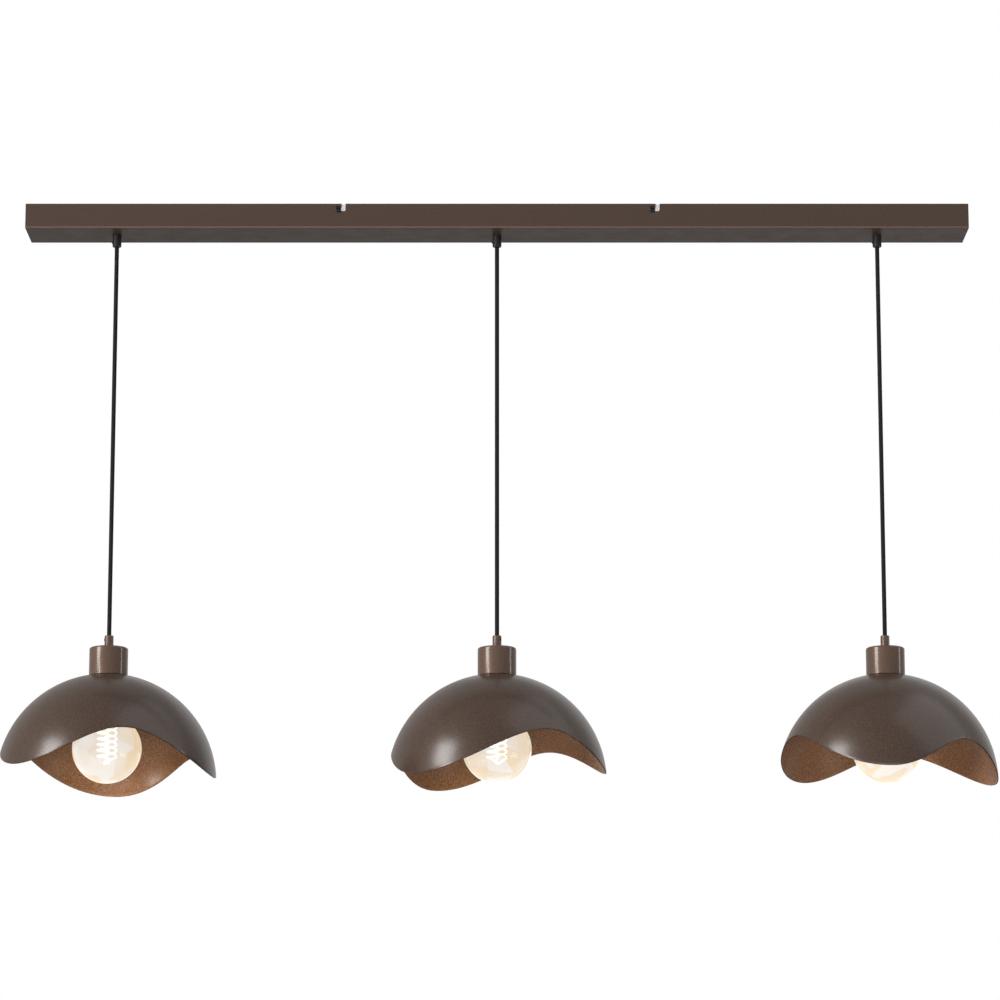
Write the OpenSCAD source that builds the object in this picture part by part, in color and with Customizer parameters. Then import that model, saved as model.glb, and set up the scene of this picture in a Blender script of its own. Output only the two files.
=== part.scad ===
// Pendant light with three wave-rimmed globe shades on one ceiling canopy.
// Millimetres, +Z up. The origin lies on the ceiling, midway between the two ceiling slots.

/* [Canopy] */
// Length of the ceiling canopy
canopy_length = 1315; // [1220:5:1400]
// Depth of the canopy, front to back
canopy_depth = 80; // [70:1:100]
// Height of the canopy below the ceiling
canopy_height = 35; // [32:1:45]
// Thickness of the canopy's sheet steel
canopy_wall = 1.2; // [1:0.1:2]
// Outside radius of the canopy's long bends
canopy_bend = 2; // [2:0.1:4]

/* [Brackets and side screws] */
// Distance between the two ceiling brackets
bracket_spacing = 438; // [300:2:460]
// Length of one bracket along the canopy
bracket_length = 60; // [40:1:80]
// Thickness of the bracket's steel
bracket_wall = 2; // [1.5:0.1:3]
// Height of the bracket's legs
bracket_leg = 18; // [15:0.5:22]
// Length of the slot for a ceiling screw
ceiling_slot_length = 20; // [12:1:30]
// Width of the slot for a ceiling screw
ceiling_slot_width = 5.5; // [4.5:0.1:6.5]
// Shank diameter of the side screws
side_screw_d = 5; // [4:0.5:5]
// Head diameter of the side screws
side_head_d = 9.3; // [9:0.1:10]
// Depth of the side screws below the ceiling
side_screw_drop = 8; // [7:0.5:9]
// Sideways travel of the canopy when its slots lock on the screws
lock_travel = 8; // [7:0.5:12]
// Offset of the side screws from the middle of their brackets
side_screw_offset = -3; // [-6:0.5:6]

/* [Cord and grips] */
// Diameter of the textile cord
cord_d = 6; // [5:0.1:7]
// Free length of each cord between its two grips
cord_length = 552; // [350:1:800]
// Distance between neighbouring cords
cord_spacing = 533; // [480:1:560]
// Outside diameter of the upper grips
upper_grip_d = 12.5; // [12:0.1:15]
// Length of an upper grip below the canopy
upper_grip_length = 17; // [14:0.5:25]
// Outside diameter of the lower grips
lower_grip_d = 12.4; // [12:0.1:15]
// Length of a lower grip above its cup
lower_grip_length = 17; // [14:0.5:25]
// Diameter of the grips' threaded necks
neck_thread_d = 9.8; // [9.5:0.1:10]
// Diameter of the grips' set screws
set_screw_d = 3; // [2.5:0.1:3.5]

/* [Shade] */
// Outside diameter of the spherical shade
shade_d = 300; // [280:1:320]
// Thickness of the shade
shade_wall = 1.2; // [0.8:0.1:2]
// Height of the rim's first crest above the middle of the sphere
crest_1_height = 58.5; // [40:0.5:65]
// Direction of the first crest, counter-clockwise from the front
crest_1_angle = 10; // [0:1:30]
// Height of the first trough
trough_1_height = 5; // [-5:0.5:25]
// Direction of the first trough
trough_1_angle = 77; // [60:1:95]
// Height of the second crest
crest_2_height = 47; // [40:0.5:65]
// Direction of the second crest
crest_2_angle = 122; // [110:1:135]
// Height of the second trough
trough_2_height = 0; // [-5:0.5:25]
// Direction of the second trough
trough_2_angle = 175; // [155:1:200]
// Height of the third crest
crest_3_height = 58; // [40:0.5:65]
// Direction of the third crest
crest_3_angle = 251; // [235:1:265]
// Height of the third trough
trough_3_height = 13.5; // [-5:0.5:25]
// Direction of the third trough
trough_3_angle = 309; // [290:1:330]
// How much leaner the crests are than a cosine wave
crest_leanness = 0.19; // [0:0.01:0.4]
// Turn of the left shade about its cord
left_turn = 5; // [-180:1:180]
// Turn of the middle shade about its cord
middle_turn = 140; // [-180:1:180]
// Turn of the right shade about its cord
right_turn = -80; // [-180:1:180]

/* [Cup and lampholder] */
// Outside diameter of the cup over the lampholder
cup_d = 53.2; // [50:0.1:60]
// Height of the cup
cup_height = 39; // [36:0.5:50]
// Thickness of the cup
cup_wall = 1.2; // [0.8:0.1:1.6]
// Radius of the cup's top edge
cup_edge = 3; // [2:0.1:5]
// Diameter of the lampholder's threaded skirt
skirt_d = 40; // [38:0.1:42]
// Length of the skirt below the shade's top
skirt_length = 34; // [31:0.5:38]
// Diameter of the lampholder's flange on the shade
flange_d = 46; // [44:0.5:48]
// Diameter of the shade ring
shade_ring_d = 57; // [52:0.5:62]
// Height of the shade ring
shade_ring_height = 8; // [6:0.5:12]

/* [Bulb] */
// Diameter of the globe bulb
bulb_d = 95; // [80:1:100]
// Length of the bulb from its contact to its lowest point
bulb_length = 140; // [130:1:150]
// Thickness of the bulb's glass
bulb_glass = 0.8; // [0.6:0.1:1.2]
// Diameter of the bulb's neck where it enters the cap
bulb_neck_d = 25; // [24:0.1:25.4]
// Diameter of the bulb's screw cap
cap_d = 26.2; // [26:0.1:26.6]
// Length of the bulb's screw cap
cap_length = 27; // [25:0.5:28]
// Diameter of the filament's double spiral
coil_d = 26; // [20:0.5:30]
// Thickness of the filament
coil_wire = 2; // [1:0.1:2.5]
// Pitch of each of the filament's two strands
coil_pitch = 16; // [12:0.5:20]
// Turns of each strand
coil_turns = 3.25; // [2:0.25:3.5]
// Depth of the spiral's lower end below the middle of the globe
coil_drop = 14; // [5:0.5:18]

/* [Hidden] */
SIDES = ["left", "middle", "right"];
PENDANT_PIECES = [
    "upper_grip", "cord_tail", "cord_flex", "cord", "cord_end", "lower_grip", "lower_grip_screw", "cup",
    "lampholder", "contacts", "shade_ring", "shade", "bulb_globe", "bulb_cap", "bulb_stem", "filament"
];
$fn = 96;

// Clearances
seat = 0.2;
running = 0.06;
thread_play = 0.05;
loose = 0.3;
over = 1;

// Places of the pendants
cord_x = [-cord_spacing, 0, cord_spacing];
shade_turn = [left_turn, middle_turn, right_turn];
cord_r = cord_d / 2;
grip_bore_r = cord_r + running;
neck_thread_r = neck_thread_d / 2;

// Heights from the ceiling down
floor_z = -canopy_height + canopy_wall;
mouth_z = -canopy_height - upper_grip_length;
pivot_drop = 1.2;
pivot_z = mouth_z - pivot_drop;
cord_low_z = mouth_z - cord_length;
cup_top_z = cord_low_z - lower_grip_length;
shade_r = shade_d / 2;
shade_inner_r = shade_r - shade_wall;
cup_r = cup_d / 2;
cup_inner_r = cup_r - cup_wall;
cup_bottom_z = cup_top_z - cup_height;
sphere_z = cup_bottom_z - seat - sqrt(shade_r * shade_r - cup_inner_r * cup_inner_r);

// Hardware inside the canopy
washer_d = 18;
washer_height = 1;
nut_width = 14;
nut_height = 4;
neck_spare = 1.5;
neck_up = canopy_wall + washer_height + nut_height + neck_spare;
bracket_width = canopy_depth - 2 * canopy_wall - 2 * loose;
bracket_bend = 1.5 * bracket_wall;
side_slot_w = side_screw_d + 0.5;
side_screw_reach = canopy_wall + loose + bracket_wall + 3;

// Terminal block, set between the middle cord and the right bracket
block_x = 120;
block_ways = 5;
way_pitch = 7;
block_length = 20;
block_end = 5;
block_height = 14;
way_height = 5;
wire_hole_r = 1.6;
core_r = 1.1;
clamp_r = 1.8;
clamp_x = 5.5;
fixing_r = 1.5;
fixing_spare = 4;
fixing_y = (block_ways * way_pitch + block_end) / 2;
stud_x = -110;
stud_r = 2;
stud_height = 12;

// Lampholder, counted from the flange's seat on the shade's hole
hole_r = skirt_d / 2 + 0.5;
seat_z = sphere_z + sqrt(shade_r * shade_r - hole_r * hole_r) + seat;
holder_top = cup_top_z - cup_wall - seat - seat_z;
flange_height = 3;
body_r = skirt_d / 2 - 1;
body_top = 22;
shoulder_r = 8;
boss_r = 8;
neck_down = cup_wall + seat + 12;
deck = -8;
contact_thickness = 0.8;
shell_inner_r = cap_d / 2 + loose;
shell_wall = 0.7;
shell_length = 22;
ring_top = sqrt(shade_inner_r * shade_inner_r - shade_ring_d * shade_ring_d / 4) + sphere_z - seat - seat_z;
ring_notches = 12;

// Bulb, counted from its contact's tip
tip_z = seat_z + deck - contact_thickness - loose;
globe_z = tip_z - bulb_length + bulb_d / 2;
fillet_r = 12;
cap_wall = 0.4;
cap_shoulder = 6;
neck_top = 9;
coil_low_z = globe_z - coil_drop;
coil_r = coil_d / 2;
bridge_dip = 8;
bridge_sweep = 12;
stem_rod_r = 2;

// Rim of the shade, as crests and troughs in order round the sphere
rim_marks = [
    [crest_1_angle, crest_1_height],
    [trough_1_angle, trough_1_height],
    [crest_2_angle, crest_2_height],
    [trough_2_angle, trough_2_height],
    [crest_3_angle, crest_3_height],
    [trough_3_angle, trough_3_height]
];
rim_steps = 96;

function rise(u) = (1 - cos(180 * u)) / 2;
function lean_rise(u) = rise(u) - crest_leanness * rise(u) * (1 - rise(u));
function rim_between(low, high, u) = low + (high - low) * lean_rise(u);
function rim_span(from, to, angle) =
    let (u = (angle - from[0]) / (to[0] - from[0]))
    to[1] > from[1] ? rim_between(from[1], to[1], u) : rim_between(to[1], from[1], 1 - u);
function turned(mark, turns) = [mark[0] + 360 * turns, mark[1]];
function rim_height(angle) =
    let (last = len(rim_marks) - 1)
    let (passed = len([for (mark = rim_marks) if (angle >= mark[0]) mark]))
    let (from = passed == 0 ? turned(rim_marks[last], -1) : rim_marks[passed - 1])
    let (to = passed > last ? turned(rim_marks[0], 1) : rim_marks[passed])
    rim_span(from, to, angle);

// Tubes swept along a list of points
function unit(v) = v / norm(v);
function spline(a, b, c, d, u) =
    0.5 * (2 * b + (c - a) * u + (2 * a - 5 * b + 4 * c - d) * u * u + (3 * b - a - 3 * c + d) * u * u * u);
function route_points(route, steps) =
    let (last = len(route) - 1)
    concat(
        [
            for (i = [0 : last - 1])
            for (k = [0 : steps - 1])
            spline(route[max(i - 1, 0)], route[i], route[i + 1], route[min(i + 2, last)], k / steps)
        ],
        [route[last]]
    );
function tube_ring(path, i, radius, sides, up) =
    let (ahead = path[min(i + 1, len(path) - 1)])
    let (behind = path[max(i - 1, 0)])
    let (along = unit(ahead - behind))
    let (across = unit(cross(along, up)))
    let (normal = cross(across, along))
    [
        for (k = [0 : sides - 1])
        let (turn = 360 * k / sides)
        path[i] + radius * (cos(turn) * across + sin(turn) * normal)
    ];

module tube(path, radius, sides, up) {
    last = len(path) - 1;
    rings = [for (i = [0 : last]) each tube_ring(path, i, radius, sides, up)];
    walls = [
        for (i = [0 : last - 1])
        for (k = [0 : sides - 1])
        let (a = i * sides + k)
        let (b = i * sides + (k + 1) % sides)
        each [[a, b, b + sides], [a, b + sides, a + sides]]
    ];
    start = [for (k = [1 : sides - 2]) [0, k + 1, k]];
    finish = [for (k = [1 : sides - 2]) [last * sides, last * sides + k, last * sides + k + 1]];
    polyhedron(points = rings, faces = concat(walls, start, finish), convexity = 10);
}

// Filament: down one strand, across under the stem, and up the other strand
coil_steps = 24;
bridge_steps = 14;
coil_height = coil_pitch * coil_turns;
stem_gap_r = stem_rod_r + coil_wire / 2 + loose;
function coil_radius(turns) = stem_gap_r + (coil_r - stem_gap_r) * rise(min(1, turns * 3));
function coil_point(turns, side) =
    let (angle = 360 * turns + side)
    [
        coil_radius(turns) * cos(angle),
        coil_radius(turns) * sin(angle),
        coil_low_z + coil_height - coil_pitch * turns
    ];
function bezier(p, u) =
    let (v = 1 - u)
    v * v * v * p[0] + 3 * v * v * u * p[1] + 3 * v * u * u * p[2] + u * u * u * p[3];
strand_steps = round(coil_turns * coil_steps);
strand_down = [for (i = [0 : strand_steps]) coil_point(i / coil_steps, 0)];
strand_up = [for (i = [strand_steps : -1 : 0]) coil_point(i / coil_steps, 180)];
strand_end = strand_down[strand_steps];
strand_way = bridge_sweep * [-sin(360 * coil_turns), cos(360 * coil_turns), 0];
bridge_points = [
    strand_end,
    strand_end + strand_way - [0, 0, bridge_dip],
    strand_up[0] - strand_way - [0, 0, bridge_dip],
    strand_up[0]
];
bridge = [for (i = [1 : bridge_steps - 1]) bezier(bridge_points, i / bridge_steps)];
filament_path = concat(strand_down, bridge, strand_up);
least_gap = min([
    for (i = [0 : len(filament_path) - 1])
    for (j = [i + coil_steps / 2 : len(filament_path) - 1])
    norm(filament_path[i] - filament_path[j])
]) - coil_wire;
echo(least_gap_of_the_filament_to_itself = least_gap);

// Routes of the cord tails on the canopy floor, from the grips to the terminal block
lay_z = floor_z + cord_r + loose;
tail_end_x = 18;
rise_z = pivot_z + cord_r + loose;
neck_top_z = neck_up - canopy_height;
left_way = 1.5;
middle_way = -0.5;
right_way = 1.5;
left_end_x = block_x - block_length / 2 - tail_end_x;
right_end_x = block_x + block_length / 2 + tail_end_x;

// A tail's bow over its grip: steps along the canopy, and heights above the grip's neck
bow = [
    [0, 5], [0.9, 10.1], [3.5, 14.5], [7.9, 17.6], [13.4, 18.6],
    [19, 17.2], [24.6, 13.4], [31, 8], [38.6, 2.4], [49, -1.7]
];
bow_foot = 64;
bow_aside = 4;
function tail_bow(x, way, aside) = concat(
    [for (k = [0 : 3]) [x, 0, rise_z + (neck_top_z - rise_z) * k / 3]],
    [for (b = bow) [x + way * b[0], aside * b[0] / bow_foot, neck_top_z + b[1]]],
    [[x + way * bow_foot, aside, lay_z]]
);
left_route = concat(
    tail_bow(cord_x[0], 1, bow_aside),
    [
        [-440, 8, lay_z], [-340, 14, lay_z], [-200, 18, lay_z], [-80, 18, lay_z], [10, 15, lay_z],
        [60, left_way * way_pitch + 1, lay_z], [left_end_x, left_way * way_pitch, lay_z]
    ]
);
middle_route = concat(
    tail_bow(cord_x[1], 1, middle_way * way_pitch),
    [for (x = [left_end_x - 16, left_end_x]) [x, middle_way * way_pitch, lay_z]]
);
right_route = concat(
    tail_bow(cord_x[2], -1, bow_aside),
    [
        [440, 8, lay_z], [350, 12, lay_z], [240, 13, lay_z], [180, 11.5, lay_z],
        [right_end_x, right_way * way_pitch, lay_z]
    ]
);
tail_routes = [left_route, middle_route, right_route];
tail_ways = [left_way, middle_way, right_way];
tail_sides = 10;

// A channel block along X with its floor at -height and rounded long edges
module channel(length, width, height, bend, top) {
    rotate([90, 0, 90])
        translate([0, 0, -length / 2])
            linear_extrude(length) {
                translate([-width / 2, bend - height]) square([width, height - bend + top]);
                translate([bend - width / 2, -height]) square([width - 2 * bend, 2 * bend]);
                for (side = [-1, 1])
                    translate([side * (width / 2 - bend), bend - height]) circle(bend);
            }
}

// A slot through a plate, along X, with round ends
module round_slot(length, width, depth) {
    cube([length - width, width, depth], center = true);
    for (side = [-1, 1])
        translate([side * (length - width) / 2, 0, 0]) cylinder(h = depth, d = width, center = true);
}

// A screw along Z with its head's underside at zero and its shank below
module screw(head_d, head_height, shank_d, reach) {
    dome_r = head_d * 0.9;
    cross_length = head_d * 0.6;
    cross_width = head_d * 0.12;
    cross_floor = head_height * 0.45;
    difference() {
        intersection() {
            cylinder(h = head_height, d = head_d);
            translate([0, 0, head_height - dome_r]) sphere(dome_r);
        }
        for (turn = [0, 90])
            rotate([0, 0, turn])
                translate([-cross_length / 2, -cross_width / 2, cross_floor])
                    cube([cross_length, cross_width, head_height]);
    }
    translate([0, 0, -reach]) cylinder(h = reach + cross_floor / 2, d = shank_d);
}

// A grub screw along Z with its outer face at zero
module grub(d, length) {
    slot_width = d * 0.24;
    slot_depth = d * 0.3;
    difference() {
        translate([0, 0, -length]) cylinder(h = length, d = d);
        translate([-d, -slot_width / 2, -slot_depth]) cube([2 * d, slot_width, d]);
    }
}

// Middle of each side screw along the canopy
side_screw_x = [for (side = [-1, 1]) side * bracket_spacing / 2 + side_screw_offset];

module lock_slots() {
    through = canopy_depth + 2 * over;
    for (x = side_screw_x) {
        for (slide = [0, lock_travel])
            translate([x + slide, 0, -side_screw_drop])
                rotate([90, 0, 0]) cylinder(h = through, d = side_slot_w, center = true);
        translate([x, -through / 2, -side_screw_drop - side_slot_w / 2])
            cube([lock_travel, through, side_slot_w]);
        translate([x + lock_travel - side_slot_w / 2, -through / 2, -side_screw_drop])
            cube([side_slot_w, through, side_screw_drop + over]);
    }
}

module canopy() {
    color("#55483f") {
        for (side = [-1, 1])
            translate([block_x, side * fixing_y, floor_z - canopy_wall / 2])
                cylinder(h = canopy_wall / 2 + block_height + fixing_spare, r = fixing_r);
        difference() {
            channel(canopy_length, canopy_depth, canopy_height, canopy_bend, 0);
            channel(
                canopy_length - 2 * canopy_wall, canopy_depth - 2 * canopy_wall, canopy_height - canopy_wall,
                canopy_bend - canopy_wall + 0.1, over
            );
            lock_slots();
            for (x = cord_x)
                translate([x, 0, -canopy_height - over])
                    cylinder(h = canopy_wall + 2 * over, r = neck_thread_r + seat);
        }
    }
}

module bracket(side) {
    color("#b9bcc0")
        translate([side * bracket_spacing / 2, 0, 0])
            difference() {
                mirror([0, 0, 1])
                    difference() {
                        translate([0, 0, bracket_leg])
                            channel(bracket_length, bracket_width, bracket_leg, bracket_bend, 0);
                        translate([0, 0, bracket_leg])
                            channel(
                                bracket_length + 2 * over, bracket_width - 2 * bracket_wall,
                                bracket_leg - bracket_wall, bracket_bend - bracket_wall, over
                            );
                    }
                round_slot(ceiling_slot_length, ceiling_slot_width, 3 * bracket_wall);
                translate([side_screw_offset, 0, -side_screw_drop])
                    rotate([90, 0, 0])
                        cylinder(h = canopy_depth, r = side_screw_d / 2 + thread_play, center = true);
            }
}

module side_screws() {
    head_height = 2.6;
    color("#1d1b1a")
        for (x = side_screw_x)
            for (face = [0, 180])
                rotate([0, 0, face])
                    translate([face == 0 ? x : -x, -canopy_depth / 2 - thread_play, -side_screw_drop])
                        rotate([90, 0, 0])
                            screw(side_head_d, head_height, side_screw_d, side_screw_reach);
}

module grip_washers() {
    color("#a8abae")
        for (x = cord_x)
            translate([x, 0, floor_z])
                difference() {
                    cylinder(h = washer_height, d = washer_d);
                    translate([0, 0, -over]) cylinder(h = washer_height + 2 * over, r = neck_thread_r + seat);
                }
}

module grip_nuts() {
    color("#b9bcc0")
        for (x = cord_x)
            translate([x, 0, floor_z + washer_height])
                difference() {
                    cylinder(h = nut_height, d = nut_width / cos(30), $fn = 6);
                    translate([0, 0, -over])
                        cylinder(h = nut_height + 2 * over, r = neck_thread_r + thread_play);
                }
}

// Height of the upper grips' set screws above the mouth
upper_screw_up = 6.5;

module upper_grip(i) {
    edge = 0.8;
    color("#161515")
        translate([cord_x[i], 0, 0])
            difference() {
                union() {
                    translate([0, 0, mouth_z + edge])
                        cylinder(h = upper_grip_length - edge, d = upper_grip_d);
                    translate([0, 0, mouth_z])
                        cylinder(h = edge, d1 = upper_grip_d - 2 * edge, d2 = upper_grip_d);
                    translate([0, 0, -canopy_height - over])
                        cylinder(h = neck_up + over, r = neck_thread_r);
                }
                translate([0, 0, mouth_z - over])
                    cylinder(h = upper_grip_length + neck_up + 2 * over, r = grip_bore_r);
                translate([0, 0, mouth_z + upper_screw_up])
                    rotate([0, -90, 0])
                        cylinder(h = upper_grip_d, r = set_screw_d / 2 + thread_play);
            }
}

module upper_grip_screws() {
    proud = 1;
    color("#0f0f0f")
        for (x = cord_x)
            translate([x - upper_grip_d / 2 - proud, 0, mouth_z + upper_screw_up])
                rotate([0, -90, 0])
                    grub(set_screw_d, upper_grip_d / 2 + proud - cord_r - seat);
}

module terminal_block() {
    width = block_ways * way_pitch + 2 * block_end;
    groove = 1.2;
    groove_depth = 4;
    color("#e8e6df")
        translate([block_x, 0, floor_z + thread_play])
            difference() {
                translate([-block_length / 2, -width / 2, 0]) cube([block_length, width, block_height]);
                for (way = [0 : block_ways - 1])
                    translate([0, (way - (block_ways - 1) / 2) * way_pitch, 0]) {
                        translate([0, 0, way_height])
                            rotate([0, 90, 0])
                                cylinder(h = block_length + 2 * over, r = wire_hole_r, center = true);
                        for (side = [-1, 1])
                            translate([side * clamp_x, 0, way_height])
                                cylinder(h = block_height, r = clamp_r + thread_play);
                    }
                for (way = [0 : block_ways])
                    translate([0, (way - block_ways / 2) * way_pitch, 1.5 * block_height - groove_depth])
                        cube([2 * block_length, groove, block_height], center = true);
                for (side = [-1, 1])
                    translate([0, side * fixing_y, -over])
                        cylinder(h = block_height + 2 * over, r = fixing_r + thread_play);
            }
}

module terminal_screws() {
    sunk = 1;
    fixing_nut_width = 5.5;
    fixing_nut_height = 2.4;
    color("#c9a85a")
        translate([block_x, 0, floor_z + thread_play]) {
            for (way = [0 : block_ways - 1])
                for (side = [-1, 1])
                    translate([side * clamp_x, (way - (block_ways - 1) / 2) * way_pitch, block_height - sunk])
                        grub(2 * clamp_r, block_height - sunk - way_height - core_r - seat);
            for (side = [-1, 1])
                translate([0, side * fixing_y, block_height + thread_play])
                    difference() {
                        cylinder(h = fixing_nut_height, d = fixing_nut_width / cos(30), $fn = 6);
                        translate([0, 0, -over])
                            cylinder(h = fixing_nut_height + 2 * over, r = fixing_r + thread_play);
                    }
        }
}

module earth_stud() {
    plate_r = 2.4 * stud_r;
    plate_height = 0.8;
    stud_nut_width = 4 * stud_r;
    stud_nut_height = 4;
    color("#c2a24e")
        translate([stud_x, 0, floor_z]) {
            cylinder(h = plate_height, r = plate_r);
            cylinder(h = stud_height, r = stud_r);
            cylinder(h = stud_nut_height, d = stud_nut_width / cos(30), $fn = 6);
        }
}

module cord_tail(i) {
    path = route_points(tail_routes[i], 3);
    end = path[len(path) - 1];
    into = i == 2 ? -1 : 1;
    way_z = floor_z + thread_play + way_height;
    color("#151515") tube(path, cord_r, tail_sides, [0, 1, 0]);
    for (core = [-1, 1]) {
        core_y = (tail_ways[i] + core / 2) * way_pitch;
        beside_y = end[1] + core * core_r * 1.2;
        color(core == 1 ? "#6b4423" : "#2f56a8")
            tube(
                [
                    [end[0] - into, beside_y, end[2]],
                    [end[0] + into * cord_r, beside_y, end[2]],
                    [end[0] + into * (tail_end_x - 5), core_y, way_z],
                    [end[0] + into * (tail_end_x + 6), core_y, way_z]
                ],
                core_r, 8, [0, 0, 1]
            );
    }
}

module cord_flex(i) {
    color("#151515") translate([cord_x[i], 0, pivot_z]) sphere(cord_r);
}

module cord(i) {
    color("#151515")
        translate([cord_x[i], 0, 0])
            difference() {
                translate([0, 0, cord_low_z]) cylinder(h = pivot_z - cord_low_z, r = cord_r);
                translate([0, 0, pivot_z]) sphere(grip_bore_r);
            }
}

// The cord goes on through the lower grip into the lampholder
cord_end_z = cup_top_z - neck_down - 8;

module cord_end(i) {
    color("#151515")
        translate([cord_x[i], 0, cord_end_z])
            cylinder(h = cord_low_z - thread_play - cord_end_z, r = cord_r);
}

// Depth of the lower grips' set screws below the grip's top
lower_screw_down = 5.9;

// Moves a piece from the pendant's axis to pendant i, turned as the shade is
module on_pendant(i) {
    translate([cord_x[i], 0, 0]) rotate([0, 0, shade_turn[i]]) children();
}

module lower_grip(i) {
    edge = 1.5;
    color("#5f5048")
        on_pendant(i)
            difference() {
                union() {
                    translate([0, 0, cup_top_z]) cylinder(h = lower_grip_length - edge, d = lower_grip_d);
                    translate([0, 0, cord_low_z - edge]) cylinder(h = edge, r = lower_grip_d / 2 - edge);
                    translate([0, 0, cord_low_z - edge])
                        rotate_extrude() translate([lower_grip_d / 2 - edge, 0]) circle(edge);
                    translate([0, 0, cup_top_z - neck_down])
                        cylinder(h = neck_down + over, r = neck_thread_r);
                }
                translate([0, 0, cup_top_z - neck_down - over])
                    cylinder(h = lower_grip_length + neck_down + 2 * over, r = grip_bore_r);
                translate([0, 0, cord_low_z - lower_screw_down])
                    rotate([0, -90, 0])
                        cylinder(h = lower_grip_d, r = set_screw_d / 2 + thread_play);
            }
}

module lower_grip_screw(i) {
    proud = 0.5;
    color("#0f0f0f")
        on_pendant(i)
            translate([-lower_grip_d / 2 - proud, 0, cord_low_z - lower_screw_down])
                rotate([0, -90, 0])
                    grub(set_screw_d, lower_grip_d / 2 + proud - cord_r - seat);
}

// A cup-shaped block with a rounded top edge, its top at zero
module cup_block(radius, height, edge) {
    translate([0, 0, -height]) cylinder(h = height - edge, r = radius);
    translate([0, 0, -2 * edge]) cylinder(h = 2 * edge, r = radius - edge);
    translate([0, 0, -edge]) rotate_extrude() translate([radius - edge, 0]) circle(edge);
}

module cup(i) {
    color("#5f5048")
        on_pendant(i)
            translate([0, 0, cup_top_z])
                difference() {
                    cup_block(cup_r, cup_height, cup_edge);
                    translate([0, 0, -cup_wall])
                        cup_block(cup_r - cup_wall, cup_height + over, cup_edge - cup_wall + 0.1);
                    translate([0, 0, -2 * cup_wall]) cylinder(h = 3 * cup_wall, r = neck_thread_r + seat);
                }
}

module lampholder(i) {
    color("#1b1a19")
        on_pendant(i)
            translate([0, 0, seat_z])
                difference() {
                    union() {
                        translate([0, 0, -skirt_length]) cylinder(h = skirt_length + over, d = skirt_d);
                        cylinder(h = flange_height, d = flange_d);
                        cylinder(h = body_top - shoulder_r, r = body_r);
                        cylinder(h = body_top, r = body_r - shoulder_r);
                        translate([0, 0, body_top - shoulder_r])
                            rotate_extrude() translate([body_r - shoulder_r, 0]) circle(shoulder_r);
                        cylinder(h = holder_top, r = boss_r);
                    }
                    translate([0, 0, holder_top - neck_down])
                        cylinder(h = neck_down + over, r = neck_thread_r + thread_play);
                    translate([0, 0, cord_end_z - seat_z - over])
                        cylinder(h = holder_top, r = cord_r + loose);
                    translate([0, 0, -skirt_length - over])
                        cylinder(h = skirt_length + deck + over, r = shell_inner_r + shell_wall + seat);
                }
}

module contacts(i) {
    color("#c9a85a")
        on_pendant(i)
            translate([0, 0, seat_z + deck - thread_play]) {
                translate([0, 0, -contact_thickness]) cylinder(h = contact_thickness, r = 4);
                difference() {
                    translate([0, 0, -shell_length])
                        cylinder(h = shell_length, r = shell_inner_r + shell_wall);
                    translate([0, 0, -shell_length - over])
                        cylinder(h = shell_length + 2 * over, r = shell_inner_r);
                }
            }
}

module shade_ring(i) {
    color("#1b1a19")
        on_pendant(i)
            translate([0, 0, seat_z + ring_top - shade_ring_height])
                difference() {
                    cylinder(h = shade_ring_height, d = shade_ring_d);
                    translate([0, 0, -over])
                        cylinder(h = shade_ring_height + 2 * over, r = skirt_d / 2 + thread_play);
                    for (k = [0 : ring_notches - 1])
                        rotate([0, 0, 360 * k / ring_notches])
                            translate([shade_ring_d / 2 + 0.8, 0, -over])
                                cylinder(h = shade_ring_height - over, r = 2.5, $fn = 32);
                }
}

// Everything below the shade's wavy rim, with its top following the rim
module below_rim() {
    near = 0.7 * shade_r;
    far = 1.1 * shade_r;
    n = rim_steps;
    angles = [for (k = [0 : n - 1]) 360 * k / n];
    around = [for (a = angles) [sin(a), -cos(a)]];
    inner = [for (k = [0 : n - 1]) [near * around[k][0], near * around[k][1], rim_height(angles[k])]];
    outer = [for (k = [0 : n - 1]) [far * around[k][0], far * around[k][1], rim_height(angles[k])]];
    low = [for (k = [0 : n - 1]) [far * around[k][0], far * around[k][1], -far]];
    hub = 3 * n;
    faces = [
        for (k = [0 : n - 1])
        let (m = (k + 1) % n)
        each [
            [hub, m, k],
            [k, m, n + m], [k, n + m, n + k],
            [n + k, n + m, 2 * n + m], [n + k, 2 * n + m, 2 * n + k],
            [hub + 1, 2 * n + k, 2 * n + m]
        ]
    ];
    polyhedron(points = concat(inner, outer, low, [[0, 0, 0], [0, 0, -far]]), faces = faces, convexity = 6);
}

module shade(i) {
    color("#6d5f57")
        on_pendant(i)
            translate([0, 0, sphere_z])
                difference() {
                    sphere(shade_r);
                    sphere(shade_inner_r);
                    cylinder(h = 2 * shade_r, r = hole_r);
                    below_rim();
                }
}

// Outline of the globe and its neck, set in by an amount
module globe_outline(inset) {
    r = bulb_d / 2 - inset;
    neck_r = bulb_neck_d / 2 - inset;
    round_r = fillet_r + inset;
    reach = bulb_d / 2 + fillet_r;
    side = bulb_neck_d / 2 + fillet_r;
    up = sqrt(reach * reach - side * side);
    neck_end = tip_z - neck_top - globe_z;
    intersection() {
        union() {
            circle(r);
            difference() {
                polygon([[0, 0], [side * r / reach, up * r / reach], [side, up], [neck_r, up], [0, up]]);
                translate([side, up]) circle(round_r);
            }
            translate([0, up - 0.01]) square([neck_r, neck_end - up + 0.01 + (inset > 0 ? over : 0)]);
        }
        translate([0, -bulb_d]) square([bulb_d, 3 * bulb_d]);
    }
}

module bulb_globe(i) {
    color("#f4ead2", 0.5)
        on_pendant(i)
            translate([0, 0, globe_z])
                rotate_extrude()
                    difference() {
                        globe_outline(0);
                        globe_outline(bulb_glass);
                    }
}

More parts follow.
